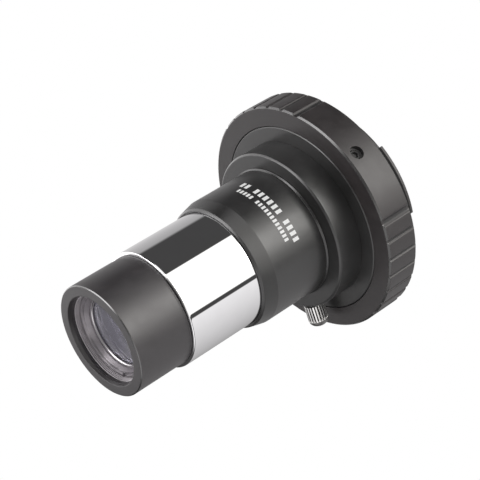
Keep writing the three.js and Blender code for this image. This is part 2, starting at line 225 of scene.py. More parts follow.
def make_piece(name, corners, faces, marks):
    """An object from corners in millimetres; marks holds float values for each corner."""
    mesh = bpy.data.meshes.new(name)
    mesh.from_pydata([tuple(c) for c in np.asarray(corners) * MM], [], [tuple(f) for f in faces])
    for key, values in marks.items():
        mesh.attributes.new(key, "FLOAT", "POINT").data.foreach_set("value", np.float32(values))
    piece = bpy.data.objects.new(name, mesh)
    bpy.context.scene.collection.objects.link(piece)
    merge_corners(mesh)
    return piece


def merge_corners(mesh):
    """Joins corners that meet, drops loose ones and turns every face outward."""
    work = bmesh.new()
    work.from_mesh(mesh)
    bmesh.ops.remove_doubles(work, verts=work.verts, dist=MERGE_DISTANCE)
    bmesh.ops.dissolve_degenerate(work, edges=work.edges, dist=MERGE_DISTANCE)
    loose = [v for v in work.verts if not v.link_faces]
    bmesh.ops.delete(work, geom=loose, context="VERTS")
    bmesh.ops.recalc_face_normals(work, faces=work.faces)
    work.to_mesh(mesh)
    work.free()


def turned(name, outline, columns=COLUMNS, relief=None):
    """A piece turned about the z axis. columns is a count, or a list of angles over one turn.
    relief(angles, radii, heights) gives the radii of a surface that isn't round."""
    if isinstance(columns, int):
        angles = np.linspace(0, 360, columns + 1)
    else:
        angles = np.append(columns, columns[0] + 360)
    turn = (angles - angles[0]) / 360
    rows = outline_rows(outline, turn)
    radii = np.array([r for r, _, _ in rows])
    heights = np.array([z for _, z, _ in rows])
    wear = np.array([np.full_like(turn, w) for _, _, w in rows])
    radial_steps = np.diff(radii[:, 0], prepend=radii[0, 0])
    upright_steps = np.diff(heights[:, 0], prepend=heights[0, 0])
    steps = np.hypot(radial_steps, upright_steps)
    along = np.cumsum(steps)[:, None] * np.ones_like(turn)
    if relief:
        radii = relief(angles, radii, heights)
    x = radii * np.cos(np.radians(angles))
    y = radii * np.sin(np.radians(angles))
    corners = np.stack([x, y, heights], axis=-1).reshape(-1, 3)
    row_count, column_count = radii.shape
    i, j = np.meshgrid(np.arange(row_count), np.arange(column_count - 1), indexing="ij")
    after = (i + 1) % row_count
    quad = [i * column_count + j, i * column_count + j + 1,
            after * column_count + j + 1, after * column_count + j]
    faces = np.stack(quad, axis=-1).reshape(-1, 4)
    marks = {"along": along.ravel(), "wear": wear.ravel()}
    return make_piece(name, corners, faces, marks)


def aim(piece, angle, height):
    """Turns a piece built along +z so that it points outward at an angle, at a height."""
    turn = Matrix.Rotation(math.radians(angle), 4, "Z") @ Matrix.Rotation(math.radians(90), 4, "Y")
    piece.data.transform(Matrix.Translation((0, 0, height * MM)) @ turn)
    return piece


def shift(piece, x, y=0.0, spin=0.0):
    """Moves a piece sideways and then turns it about the z axis."""
    turn = Matrix.Rotation(math.radians(spin), 4, "Z")
    piece.data.transform(turn @ Matrix.Translation((x * MM, y * MM, 0)))
    return piece


def rod_outline(radius, low, high, edge=0.0):
    return [[0, low], [radius, low, edge], [radius, high, edge], [0, high]]


def cut(piece, cutters):
    """Takes the cutters out of a piece and deletes them."""
    for cutter in cutters:
        step = piece.modifiers.new("cut", "BOOLEAN")
        step.operation = "DIFFERENCE"
        step.solver = "EXACT"
        step.object = cutter
        settled = bpy.data.meshes.new_from_object(
            piece.evaluated_get(bpy.context.evaluated_depsgraph_get()))
        piece.modifiers.clear()
        piece.data = settled
        bpy.data.objects.remove(cutter)
    return piece


def dress(piece, body, slot, *nodes, materials, sharp=38):
    """Smooth shading, materials and the piece's body, with its CAD nodes hidden. slot is not used. Edges
    of more than sharp degrees stay sharp."""
    mesh = piece.data
    for material in materials:
        mesh.materials.append(material)
    mesh.polygons.foreach_set("use_smooth", [True] * len(mesh.polygons))
    mesh.set_sharp_from_angle(angle=math.radians(sharp))
    normals = piece.modifiers.new("face_normals", "WEIGHTED_NORMAL")
    normals.keep_sharp = True
    normals.weight = 60
    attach(piece, body)
    if nodes:
        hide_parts(*nodes)
    return piece


def paint_faces(piece, index, test):
    """Gives material number index to each face whose middle's radius and height pass a test."""
    for face in piece.data.polygons:
        middle = face.center / MM
        if test(math.hypot(middle.x, middle.y), middle.z):
            face.material_index = index


# ------------------------ materials

class Graph:
    """Short calls that add nodes to a shader tree and join them."""

    def __init__(self, tree):
        self.tree = tree
        tree.nodes.clear()

    def put(self, socket, value):
        if isinstance(value, bpy.types.NodeSocket):
            self.tree.links.new(value, socket)
        else:
            socket.default_value = value

    def node(self, kind, inputs=None, **settings):
        made = self.tree.nodes.new("ShaderNode" + kind)
        for key, value in settings.items():
            setattr(made, key, value)
        for key, value in (inputs or {}).items():
            self.put(made.inputs[key], value)
        return made

    def math(self, operation, a, b=0.0):
        return self.node("Math", {0: a, 1: b}, operation=operation).outputs[0]

    def ramp(self, value, low, high, at_low=0.0, at_high=1.0):
        """A smooth step from at_low to at_high as value goes from low to high."""
        return self.slope(value, low, high, at_low, at_high, "SMOOTHSTEP")

    def slope(self, value, low, high, at_low, at_high, kind="LINEAR"):
        """A straight slope, or a step of another kind, from at_low to at_high."""
        inputs = {"Value": value, "From Min": low, "From Max": high, "To Min": at_low, "To Max": at_high}
        return self.node("MapRange", inputs, interpolation_type=kind).outputs[0]

    def blend(self, share, a, b):
        made = self.node("Mix", {"Factor": share}, data_type="RGBA")
        self.put(made.inputs[6], a)
        self.put(made.inputs[7], b)
        return made.outputs[2]

    def noise(self, vector, scale, detail):
        made = self.node("TexNoise", {"Vector": vector, "Scale": scale, "Detail": detail})
        return made.outputs[0]

    def bump(self, height, strength, distance, normal=None):
        made = self.node("Bump", {"Height": height, "Strength": strength, "Distance": distance})
        if normal is not None:
            self.put(made.inputs["Normal"], normal)
        return made.outputs[0]

    def mark(self, name):
        return self.node("Attribute", attribute_name=name).outputs["Fac"]


LINE_FINENESS = 9.0     # for each millimetre along the outline
LINE_DRIFT = 18.0       # for each metre sideways
LINE_HEIGHT = 0.00002   # metres
GRAIN_HEIGHT = 0.00001
CLOUD_SCALE = 260.0
RUB_SCALE = 900.0
GRAIN_SCALE = 9000.0


def turning_lines(graph, place):
    """Noise that changes across the lathe's path and hardly along it."""
    along = graph.math("MULTIPLY", graph.mark("along"), LINE_FINENESS)
    split = graph.node("SeparateXYZ", {0: place})
    drift_x = graph.math("MULTIPLY", split.outputs[0], LINE_DRIFT)
    drift_y = graph.math("MULTIPLY", split.outputs[1], LINE_DRIFT)
    vector = graph.node("CombineXYZ", {0: along, 1: drift_x, 2: drift_y}).outputs[0]
    return graph.noise(vector, 1.0, 3.0)


def machined(name, colour, worn, roughness, metallic=0.0, lines=0.3, grain=0.2, ior=1.5,
             mottle=0.1, wear=0.5, burnish=0.5):
    """A turned or moulded surface. lines and grain are the strength of the lathe lines and the fine
    grain, mottle the unevenness of colour and sheen, wear how far edges take the worn colour, and
    burnish how much smoother edges are."""
    material = bpy.data.materials.new(name)
    material.use_nodes = True
    graph = Graph(material.node_tree)
    place = graph.node("TexCoord").outputs["Object"]
    cloud = graph.noise(place, CLOUD_SCALE, 3.0)
    speck = graph.noise(place, GRAIN_SCALE, 2.0)
    line = turning_lines(graph, place)
    rub = graph.ramp(graph.noise(place, RUB_SCALE, 4.0), 0.35, 0.7)
    edge = graph.math("MULTIPLY", graph.mark("wear"), rub)
    edge = graph.math("MULTIPLY", edge, wear)
    shade = graph.ramp(cloud, 0.3, 0.7, 1.0 - mottle, 1.0 + mottle)
    tinted = graph.node("VectorMath", {0: colour}, operation="SCALE")
    graph.put(tinted.inputs["Scale"], shade)
    base = graph.blend(edge, tinted.outputs[0], (*worn, 1.0))
    sheen = graph.ramp(cloud, 0.25, 0.75, roughness * (1 - mottle), roughness * (1 + mottle))
    sheen = graph.math("ADD", sheen, graph.ramp(line, 0.3, 0.7, -0.03 * lines, 0.06 * lines))
    burnished = graph.math("SUBTRACT", 1.0, graph.math("MULTIPLY", graph.mark("wear"), burnish))
    sheen = graph.math("MULTIPLY", sheen, burnished)
    normal = graph.bump(line, lines, LINE_HEIGHT)
    normal = graph.bump(speck, grain, GRAIN_HEIGHT, normal)
    shader = graph.node("BsdfPrincipled", {
        "Base Color": base, "Roughness": sheen, "Normal": normal, "IOR": ior, "Metallic": metallic,
    })
    graph.node("OutputMaterial", {"Surface": shader.outputs[0]})
    material.diffuse_color = (*colour, 1.0)
    return material


def coated_glass(name):
    """Polished glass with a bluish antireflection coating. Only 0.74 of it transmits; the rest is a
    bluish-grey diffuse, painted light that stands in for the glow seen in the lens.
    """
    material = bpy.data.materials.new(name)
    material.use_nodes = True
    graph = Graph(material.node_tree)
    place = graph.node("TexCoord").outputs["Object"]
    dust = graph.ramp(graph.noise(place, 5000.0, 3.0), 0.62, 0.8, 0.02, 0.12)
    # Painted light: the diffuse share of the bluish-grey base stands in for the glow inside the lens.
    shader = graph.node("BsdfPrincipled", {
        "Base Color": (0.78, 0.76, 0.87, 1.0), "Roughness": dust, "IOR": 1.52,
        "Transmission Weight": 0.74, "Coat Weight": 1.0, "Coat Roughness": 0.06, "Coat IOR": 2.0,
    })
    graph.node("OutputMaterial", {"Surface": shader.outputs[0]})
    return material


# Each has its name, colour, worn colour and roughness first.
anodised = machined("black_anodised_aluminium", (0.021, 0.0205, 0.0205), (0.12, 0.12, 0.12),
                    0.33, ior=1.68, lines=0.35, grain=0.25, wear=0.05)
ring_black = machined("black_anodised_ring", (0.0255, 0.0212, 0.0217), (0.12, 0.12, 0.12),
                      0.4, ior=1.6, lines=0.35, grain=0.25, wear=0.1)
cell_edge = machined("burnished_cell_edge", (0.03, 0.029, 0.029), (0.12, 0.12, 0.12),
                     0.2, ior=2.0, wear=0.1, burnish=0.0)
ring_edge = machined("burnished_ring_edge", (0.03, 0.029, 0.029), (0.12, 0.12, 0.12),
                     0.24, ior=1.75, wear=0.1, burnish=0.0)
matte_black = machined("matte_black_aluminium", (0.018, 0.018, 0.018), (0.06, 0.06, 0.06),
                       0.55, lines=0.5, grain=0.3, wear=0.3)
cell_black = machined("satin_black_aluminium", (0.0325, 0.0288, 0.031), (0.14, 0.14, 0.14),
                      0.4, ior=1.68, lines=0.35, grain=0.25, wear=0.05, burnish=0.8)
retainer_grey = machined("turned_grey_aluminium", (0.3, 0.278, 0.298), (0.5, 0.49, 0.5),
                         0.36, metallic=0.5, lines=0.7, grain=0.3, wear=0.2)
thread_grey = machined("threaded_grey_aluminium", (0.42, 0.39, 0.412), (0.5, 0.49, 0.5),
                       0.42, metallic=0.2, ior=1.9, lines=0.5, grain=0.3, wear=0.6)
chrome = machined("mirror_chrome", (0.83, 0.83, 0.84), (0.9, 0.9, 0.9),
                  0.03, metallic=1.0, lines=0.02, grain=0.01, mottle=0.01, wear=0.2)
nickel = machined("bright_nickel", (0.82, 0.81, 0.8), (0.9, 0.9, 0.89),
                  0.19, metallic=0.82, lines=0.15, grain=0.1, wear=0.6, burnish=0.0)
brass = machined("turned_brass", (0.6, 0.41, 0.15), (0.8, 0.62, 0.3),
                 0.28, metallic=1.0, lines=0.4, grain=0.2)
# Painted shade: a dark copy of the nickel for the thumbscrew's knurl valleys.
nickel_valley_shade = machined("shaded_nickel", (0.1, 0.098, 0.095), (0.2, 0.2, 0.2),
                         0.35, metallic=0.8, lines=0.1, grain=0.1, wear=0.0)
polished_lip = machined("polished_aluminium", (0.5, 0.49, 0.5), (0.6, 0.6, 0.6),
                        0.2, metallic=1.0, lines=0.2, grain=0.1, wear=0.0, burnish=0.0)
# Painted shade: the thumbscrew's dome is the same nickel made darker, with a satin roughness.
nickel_cap_shade = machined("satin_nickel", (0.2, 0.196, 0.194), (0.3, 0.3, 0.3),
                      0.42, metallic=0.85, lines=0.2, grain=0.1, wear=0.0)
black_steel = machined("black_oxide_steel", (0.034, 0.033, 0.033), (0.2, 0.2, 0.2),
                       0.45, metallic=0.1, lines=0.2, grain=0.3)
nylon = machined("natural_nylon", (0.72, 0.69, 0.6), (0.8, 0.78, 0.7), 0.5, lines=0.1, grain=0.4)
red_paint = machined("red_enamel", (0.55, 0.012, 0.014), (0.6, 0.05, 0.05), 0.25, lines=0.0, grain=0.1)
white_ink = machined("white_printing_ink", (0.92, 0.92, 0.91), (0.92, 0.92, 0.92), 0.45,
                     lines=0.0, grain=0.3, mottle=0.03)
glass = coated_glass("coated_glass")


# ------------------------ lens cell

CELL_SHOULDER = BARREL_FRONT + 0.1        # where the cell's thread ends and its wall begins
CELL_THREAD_R = 14.1
COUNTERBORE_R = BORE_R + 0.3
COUNTERBORE_DEPTH = 1.85
COUNTERBORE_LEAD = 0.9                    # depth of the steep chamfer at the mouth of the bore
CELL_CHAMFER = 0.24
SEAT_R = 9.8
SEAT = span("rear_lens_element")[0] - 0.1


def lens_cell():
    ledge = CELL_FRONT - COUNTERBORE_DEPTH
    wall_r = CELL_R - 0.07      # in front of a narrow band of full radius
    band_end = CELL_SHOULDER + 0.45
    piece = turned("lens_cell_shell", [
        [SEAT_R, CELL_BACK],
        [CELL_THREAD_R - 0.5, CELL_BACK, 0],
        Thread(CELL_THREAD_R, 0.6, CELL_BACK + 0.3, CELL_SHOULDER - 0.3),
        [CELL_THREAD_R - 0.36, CELL_SHOULDER, 0],
        [CELL_R, CELL_SHOULDER],
        [CELL_R, band_end, 0.02],
        [wall_r, CELL_SHOULDER + 0.54, 0],
        [wall_r, CELL_FRONT - CELL_CHAMFER, 0.04],
        [wall_r - CELL_CHAMFER, CELL_FRONT, 0.04],
        [COUNTERBORE_R + 0.35, CELL_FRONT],
        [COUNTERBORE_R, CELL_FRONT - COUNTERBORE_LEAD],
        [COUNTERBORE_R, ledge + 0.06, 0.04],
        [BORE_R + 0.02, ledge, 0.05],
        [BORE_R + 0.02, ledge - 0.12, 0],
        Thread(BORE_R + 0.06, 0.36, ledge - 0.15, RETAINER_BACK - 0.6, inside=True),
        [BORE_R, RETAINER_BACK - 0.9, 0],
        [BORE_R, SEAT],
        [SEAT_R, SEAT],
    ])

    paint_faces(piece, 1, lambda r, z: r < COUNTERBORE_R and SEAT < z < ledge + 0.04)
    paint_faces(piece, 2, lambda r, z: r > wall_r - CELL_CHAMFER and z > CELL_FRONT - CELL_CHAMFER)
    dress(piece, "cell", "black_anodised", "lens_cell", materials=[cell_black, thread_grey, cell_edge])


def lens_retainer():
    mouth, throat = 10.4, 9.0
    lip = throat + 0.32                 # outer radius of the bright lip round the throat
    lip_width = 0.16
    lip_foot = RETAINER_BACK + 0.3
    chamfer = 0.25
    piece = turned("lens_retainer", [
        [throat, RETAINER_BACK],
        [RETAINER_R - chamfer, RETAINER_BACK],
        [RETAINER_R, RETAINER_BACK + chamfer],
        [RETAINER_R, RETAINER_TOP - 0.1],
        [RETAINER_R - 0.1, RETAINER_TOP],
        [mouth + 0.3, RETAINER_TOP],
        [mouth, RETAINER_TOP - 0.6],
        [throat + 0.75, RETAINER_BACK + 0.85, 0.03],
        [throat + 0.72, RETAINER_BACK + 0.5, 0.03],
        [lip, RETAINER_BACK + 0.45, 0.02],
        [lip - lip_width, lip_foot, 0.02],
        [throat, RETAINER_BACK + 0.26, 0.02],
    ])
    paint_faces(piece, 1, lambda r, z: lip - lip_width < r < lip and z > lip_foot)
    slot_size = (2.6, 1.4, 1.0)
    cut(piece, [slab("slot", (side * RETAINER_R, 0, RETAINER_TOP), slot_size) for side in (-1, 1)])
    dress(piece, "cell", "matte_black", "lens_retaining_ring", materials=[retainer_grey, polished_lip])


def slab(name, middle, size):
    """A box used as a cutter."""
    work = bmesh.new()
    bmesh.ops.create_cube(work, size=1.0)
    for corner in work.verts:
        for axis in range(3):
            corner.co[axis] = (corner.co[axis] * size[axis] + middle[axis]) * MM
    mesh = bpy.data.meshes.new(name)
    work.to_mesh(mesh)
    work.free()
    piece = bpy.data.objects.new(name, mesh)
    bpy.context.scene.collection.objects.link(piece)
    return piece


def dome(centre_z, rim_z, rim_r):
    """Points of a curved surface from the axis out to its rim, without rounding."""
    steps = 14
    rise = rim_z - centre_z
    return [[rim_r * i / steps, centre_z + rise * (i / steps) ** 2, 0] for i in range(steps + 1)]


def lens_elements():
    flat = 10.0     # radius at which a curved face meets the flat round it
    bevel = 0.2
    for node, name, back_sag, front_sag in (
            ("front_lens_element", "front_lens", 0.75, -0.75),
            ("rear_lens_element", "rear_lens", 0.3, 0.6)):
        back, front, radius = span(node)
        top = front - max(front_sag, 0.0)
        back_flat = flat if node == "front_lens_element" else SEAT_R - 0.2
        piece = turned(name, [
            *dome(back + back_sag, back, back_flat),
            [radius - bevel, back, FINE_EDGE],
            [radius, back + bevel, FINE_EDGE],
            [radius, top - bevel, FINE_EDGE],
            [radius - bevel, top, FINE_EDGE],
            *reversed(dome(top + front_sag, top, flat)),
        ], LENS_COLUMNS)
        dress(piece, "lens_group", "coated_glass", node, materials=[glass])


def lens_spacer():
    back, front, radius = span("element_spacer")
    inner = radius - 1.1
    piece = turned("lens_spacer", [
        [inner, back], [radius, back], [radius, front], [inner, front]], LENS_COLUMNS)
    dress(piece, "lens_group", "matte_black", "element_spacer", materials=[matte_black])


# ------------------------ barrel and body

BARREL_BORE_R = 13.6
BARREL_FOOT_R = 15.2
BARREL_SEAT = SHOULDER - 0.2


def nose_barrel():
    nose_rounding = 0.34
    socket_r = CELL_THREAD_R + SLIP
    socket_end = CELL_BACK - 1.0
    piece = turned("nose_barrel_tube", [
        [BARREL_BORE_R, BARREL_BACK],
        [BARREL_FOOT_R, BARREL_BACK],
        [BARREL_FOOT_R, BARREL_SEAT, 0],
        [BARREL_R, BARREL_SEAT],
        [BARREL_R, BARREL_FRONT, nose_rounding],
        [socket_r + 0.4, BARREL_FRONT],
        [socket_r, BARREL_FRONT - 0.4, 0],
        [socket_r, socket_end],
        [BARREL_BORE_R, socket_end - 0.6],
    ], TUBE_COLUMNS)
    paint_faces(piece, 1, lambda r, z: r < BARREL_FOOT_R - 0.3 and z < BARREL_FRONT - 0.1)
    dress(piece, "barrel_body", "chrome", "nose_barrel", materials=[chrome, matte_black])


def body_tube():
    neck_r = 16.9
    eyepiece_r = 16.05
    socket_end = HOLDER_FRONT + 0.2
    stop = BARREL_BACK - 0.7
    cone_z, cone_r, front_r = 41.0, 16.78, 16.35
    flare = 0.42            # of the foot, where the tube meets the collar
    foot_z = BODY_BACK + 0.1
    piece = turned("body_shell", [
        [neck_r, BODY_BACK],
        [BODY_R + flare - 0.1, BODY_BACK, FINE_EDGE],
        [BODY_R + flare, foot_z, FINE_EDGE],
        [BODY_R, foot_z + flare, 0.3],
        [BODY_R, cone_z, 0.6],
        [cone_r, BODY_FRONT - 0.45, 0.12],
        [front_r, BODY_FRONT],
        [BARREL_R + SLIP, BODY_FRONT, FINE_EDGE],
        [BARREL_R + SLIP, BARREL_SEAT - 0.05, 0],
        [BARREL_FOOT_R + SLIP, BARREL_SEAT - 0.05, 0],
        [BARREL_FOOT_R + SLIP, stop],
        [eyepiece_r, stop],
        [eyepiece_r, socket_end, 0],
        [neck_r, socket_end, 0],
    ], TUBE_COLUMNS)
    dress(piece, "barrel_body", "black_anodised", "body_tube", materials=[anodised])


THUMB_Z = middle_of("thumbscrew").z
THUMB_ANGLE = angle_of(joint("thumbscrew_travel")["axis"])
THUMB_OUT = span("thumbscrew")[2]
THUMB_R = (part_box("thumbscrew")[1].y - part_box("thumbscrew")[0].y) / 2 / MM
THUMB_SHAFT_R = 2.0
EYEPIECE_R = 15.95
T_PITCH = 0.75       # of the M42 thread between the holder and the T-ring
CLAMP_R = 17.7       # floor of the groove that the compression ring sits in


def eyepiece_holder():
    ring_back, ring_front, _ = span("compression_ring")
    clamp_half = (ring_front - ring_back) / 2 + 0.2
    neck_r = 16.8
    thread_r = COLLAR_R - 1.1
    thread_back = HOLDER_BACK + 0.65
    undercut_r = thread_r - 0.6
    collar_back = INSERT_FRONT + 0.04
    collar_front = BODY_BACK - 0.05
    piece = turned("holder_collar", [
        [EYEPIECE_R + 0.4, HOLDER_BACK],
        [thread_r - 0.35, HOLDER_BACK, FINE_EDGE],
        [thread_r, HOLDER_BACK + 0.35, 0],
        [thread_r, HOLDER_BACK + 0.6, 0],
        [thread_r - 0.46, thread_back, 0],
        Thread(thread_r, T_PITCH, thread_back, collar_back - T_PITCH),
        [undercut_r, collar_back - 0.6, 0],
        [undercut_r, collar_back, 0],
        [COLLAR_R, collar_back, 0],
        [COLLAR_R, collar_front - 0.45, 0.1],
        [COLLAR_R - 0.42, collar_front, 0.1],
        [neck_r, collar_front, 0],
        [neck_r, HOLDER_FRONT],
        [EYEPIECE_R, HOLDER_FRONT],
        [EYEPIECE_R, THUMB_Z + clamp_half],
        [CLAMP_R, THUMB_Z + clamp_half, FINE_EDGE],
        [CLAMP_R, THUMB_Z - clamp_half, FINE_EDGE],
        [EYEPIECE_R, THUMB_Z - clamp_half],
        [EYEPIECE_R, HOLDER_BACK + 0.4],
    ], TUBE_COLUMNS)
    hole_r = THUMB_SHAFT_R + SLIP
    hole = turned("hole", [
        [0, CLAMP_R - 1, 0], [hole_r, CLAMP_R - 1, 0], [hole_r, COLLAR_R - 0.45, 0],
        [THUMB_SHAFT_R + 1.1, COLLAR_R + 0.55, 0], [0, COLLAR_R + 0.55, 0]], SCREW_COLUMNS)
    cut(piece, [aim(hole, THUMB_ANGLE, THUMB_Z)])
    dress(piece, "barrel_body", "black_anodised", "eyepiece_holder", materials=[anodised])


def compression_ring():
    """A split brass band with a gap of a few degrees at +X."""
    low, high, outer = span("compression_ring")
    inner = EYEPIECE_R + 0.2
    half_gap = 4.0
    chamfer = 0.25
    angles = np.linspace(half_gap, 360 - half_gap, 160)
    section = [(inner, low), (outer - chamfer, low), (outer, low + chamfer),
               (outer, high - chamfer), (outer - chamfer, high), (inner, high)]
    corners = [(r * math.cos(math.radians(a)), r * math.sin(math.radians(a)), z)
               for a in angles for r, z in section]
    size = len(section)
    last = (len(angles) - 1) * size
    faces = []
    for here in range(0, last, size):
        for i in range(size):
            n = (i + 1) % size
            faces.append([here + i, here + size + i, here + size + n, here + n])
    faces += [list(range(size)), [last + i for i in reversed(range(size))]]
    marks = {"along": [z for _, _, z in corners], "wear": [0.0] * len(corners)}
    piece = make_piece("brass_clamp_ring", corners, faces, marks)
    dress(piece, "barrel_body", "brass", "compression_ring", materials=[brass])


# ------------------------ printed marks

INK_THICK = 0.03
DASH_SHARE = 0.6     # of the space from one dash to the next


def ink_dash(middle, width, low, high, radius):
    """Corners and faces of one raised dash on a cylinder, by its middle angle and its width."""
    steps = 6
    corners, faces = [], []
    for k in range(steps + 1):
        a = math.radians(middle + width * (k / steps - 0.5))
        for r, z in ((radius, low), (radius + INK_THICK, low),
                     (radius + INK_THICK, high), (radius, high)):
            corners.append((r * math.cos(a), r * math.sin(a), z))
    for k in range(steps):
        for i in range(4):
            n = (i + 1) % 4
            faces.append([4 * k + i, 4 * (k + 1) + i, 4 * (k + 1) + n, 4 * k + n])
    faces += [[3, 2, 1, 0], [4 * steps + i for i in range(4)]]
    return corners, faces


def printed_rows():
    """Two rows of plain dashes where such tubes carry printing: groups of dashes with gaps between."""
    rows = (
        # middle height, dash height, first angle, last angle, dashes in each group
        (31.65, 1.85, 278.8, 352.2, (4, 6, 2)),
        (34.25, 1.3, 283.2, 347.5, (12, 5)),
    )
    corners, faces = [], []
    for z, height, first, last, groups in rows:
        slots = sum(groups) + len(groups) - 1
        pitch = (last - first) / slots
        place = 0
        for group in groups:
            for _ in range(group):
                middle = first + (place + 0.5) * pitch
                width = pitch * DASH_SHARE
                new, quads = ink_dash(middle, width, z - height / 2, z + height / 2, BODY_R)
                faces += [[len(corners) + v for v in quad] for quad in quads]
                corners += new
                place += 1
            place += 1
    marks = {"along": [0.0] * len(corners), "wear": [0.0] * len(corners)}
    piece = make_piece("printed_dashes", corners, faces, marks)
    dress(piece, "barrel_body", "white_ink", materials=[white_ink])


# ------------------------ thumbscrew

def thumbscrew():
    ridges = 22
    ridge_shares = (0.0, 0.12, 0.27, 0.38, 0.5, 0.62, 0.73, 0.88)
    angles = [360 / ridges * (ridge + share) for ridge in range(ridges) for share in ridge_shares]
    head_in = COLLAR_R + 0.5
    shaft_in = span("thumbscrew_pad")[2] + 0.15
    domed = 1.9
    knurl_end = THUMB_OUT - domed
    shoulder = THUMB_R - 0.1
    dome_rows = [[shoulder * math.cos(t), knurl_end + 0.1 + (domed - 0.1) * math.sin(t), 0]
                 for t in np.linspace(0.12, 1.45, 12)]
    groove_depth = 0.34

    def knurl(angle, radii, heights):
        phase = np.abs(((angle * ridges / 360) % 1) - 0.5) * 2
        depth = groove_depth * np.clip((phase - 0.46) / 0.3, 0, 1)
        ends = np.clip((heights - head_in + 0.1) / 0.3, 0, 1)
        ends = ends * np.clip((knurl_end - heights) / 0.35, 0, 1)
        groove = np.where(radii > shoulder - 0.5, depth * ends, 0.0)
        return radii - groove

    knurl_rows = [[THUMB_R, z, 0] for z in np.linspace(head_in + 0.5, knurl_end - 0.05, 14)]
    piece = turned("thumbscrew_head", [
        [0, shaft_in],
        [THUMB_SHAFT_R - 0.7, shaft_in, 0],
        Thread(THUMB_SHAFT_R, 0.7, shaft_in + 0.5, head_in - 0.05),
        [THUMB_SHAFT_R - 0.42, head_in, 0],
        [THUMB_R - 0.45, head_in, 0.08],
        [THUMB_R, head_in + 0.4, 0.08],
        *knurl_rows,
        [THUMB_R, knurl_end, 0],
        *dome_rows,
        [0, THUMB_OUT],
    ], angles, knurl)
    # Painted shade: the knurl valleys take the dark copy of the nickel.
    paint_faces(piece, 1, lambda r, z: r < THUMB_R - 0.14 and head_in < z < knurl_end - 0.1)
    # Painted shade: the dome takes the darker satin nickel.
    paint_faces(piece, 2, lambda r, z: z > knurl_end + 0.15)
    aim(piece, THUMB_ANGLE, THUMB_Z)
    dress(piece, "clamp_screw", "nickel", "thumbscrew",
          materials=[nickel, nickel_valley_shade, nickel_cap_shade], sharp=50)


def thumbscrew_pad():
    outer = span("thumbscrew_pad")[2]
    radius = THUMB_SHAFT_R - SLIP
    length = 1.6
    piece = turned("nylon_pad", rod_outline(radius, outer - length, outer, 0.25), SCREW_COLUMNS)
    aim(piece, THUMB_ANGLE, THUMB_Z)
    dress(piece, "clamp_pad", "nylon", "thumbscrew_pad", materials=[nylon])


# ------------------------ T-ring

SEAM_R = INSERT_R + SLIP
BEVEL_IN, BEVEL_DOWN = 0.44, 0.42    # the bright bevel of the rim's front edge
REAR_CHAMFER_IN = 0.35
GROOVE_ZONES = (62.5, 180, 297.5)    # from the first set screw to each zone's middle
GROOVES_PER_ZONE = 7
GROOVE_PITCH = 9.5
GROOVE_HALF, GROOVE_DEPTH = 0.7, 0.38
END_GROOVE_HALF, END_GROOVE_DEPTH = 1.15, 0.5
SET_SCREW_R = 1.5
PLATE_HOLE_R = 0.85                  # for the screws that hold the bayonet plate
SET_SCREW_Z = middle_of("set_screw_1").z


def t_ring_insert():
    screw_groove = 1.2      # depth and half height of the groove that the set screws grip
    seam_chamfer = 0.22
    thread_r = COLLAR_R - 1.0
    piece = turned("threaded_insert", [
        [thread_r + 0.5, INSERT_BACK],
        [INSERT_R - 0.4, INSERT_BACK],
        [INSERT_R, INSERT_BACK + 0.4],
        [INSERT_R, SET_SCREW_Z - screw_groove],
        [INSERT_R - screw_groove, SET_SCREW_Z],
        [INSERT_R, SET_SCREW_Z + screw_groove],
        [INSERT_R, INSERT_FRONT - seam_chamfer],
        [INSERT_R - seam_chamfer, INSERT_FRONT],
        [thread_r + 0.15, INSERT_FRONT, FINE_EDGE],
        [thread_r + 0.15, INSERT_FRONT - 0.25, 0],
        Thread(thread_r, T_PITCH, INSERT_FRONT - 0.3, INSERT_BACK + 0.2, inside=True),
    ], TUBE_COLUMNS)
    dress(piece, "insert", "black_anodised", "t_ring_insert", materials=[anodised])


def groove_list():
    """(angle, half width in degrees, depth) of each grip groove; a zone's end grooves are bigger."""
    last = GROOVES_PER_ZONE - 1
    found = []
    for middle in GROOVE_ZONES:
        for i in range(GROOVES_PER_ZONE):
            angle = SET_SCREW_ANGLES[0] + middle + (i - last / 2) * GROOVE_PITCH
            half, depth = GROOVE_HALF, GROOVE_DEPTH
            if i in (0, last):
                half, depth = END_GROOVE_HALF, END_GROOVE_DEPTH
            found.append((angle % 360, math.degrees(half / RIM_R), depth))
    return found


def plate_screw(i):
    """(middle, head radius, height of the head's face, height of the point) of a bayonet plate screw."""
    low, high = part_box(f"mount_screw_{i}")
    return middle_of(f"mount_screw_{i}"), (high.x - low.x) / 2 / MM, low.z / MM, high.z / MM


def rim_holes(sink_r):
    """Cutters for the set screws' holes, the plate screws' holes and the index dot's seat."""
    inner, outer = SEAM_R - 1, RIM_R + 0.3
    cutters = []
    for angle in SET_SCREW_ANGLES:
        hole = turned("hole", [
            [0, inner, 0], [SET_SCREW_R, inner, 0], [SET_SCREW_R, RIM_R - 1.4, 0],
            [sink_r, RIM_R - 1.3, 0], [sink_r, outer, 0], [0, outer, 0]], SMALL_COLUMNS)
        cutters.append(aim(hole, angle, SET_SCREW_Z))
    for i in (1, 2, 3):
        middle, _, _, point = plate_screw(i)
        hole = turned("hole", rod_outline(PLATE_HOLE_R, MOUNT_TOP - 0.5, point + 0.4), 24)
        cutters.append(shift(hole, middle.x, middle.y))
    middle = middle_of("index_dot")
    seat = turned("hole", rod_outline(1.0, RIM_R - 0.5, RIM_R + 1), SMALL_COLUMNS)
    cutters.append(aim(seat, angle_of(middle), middle.z))
    return cutters


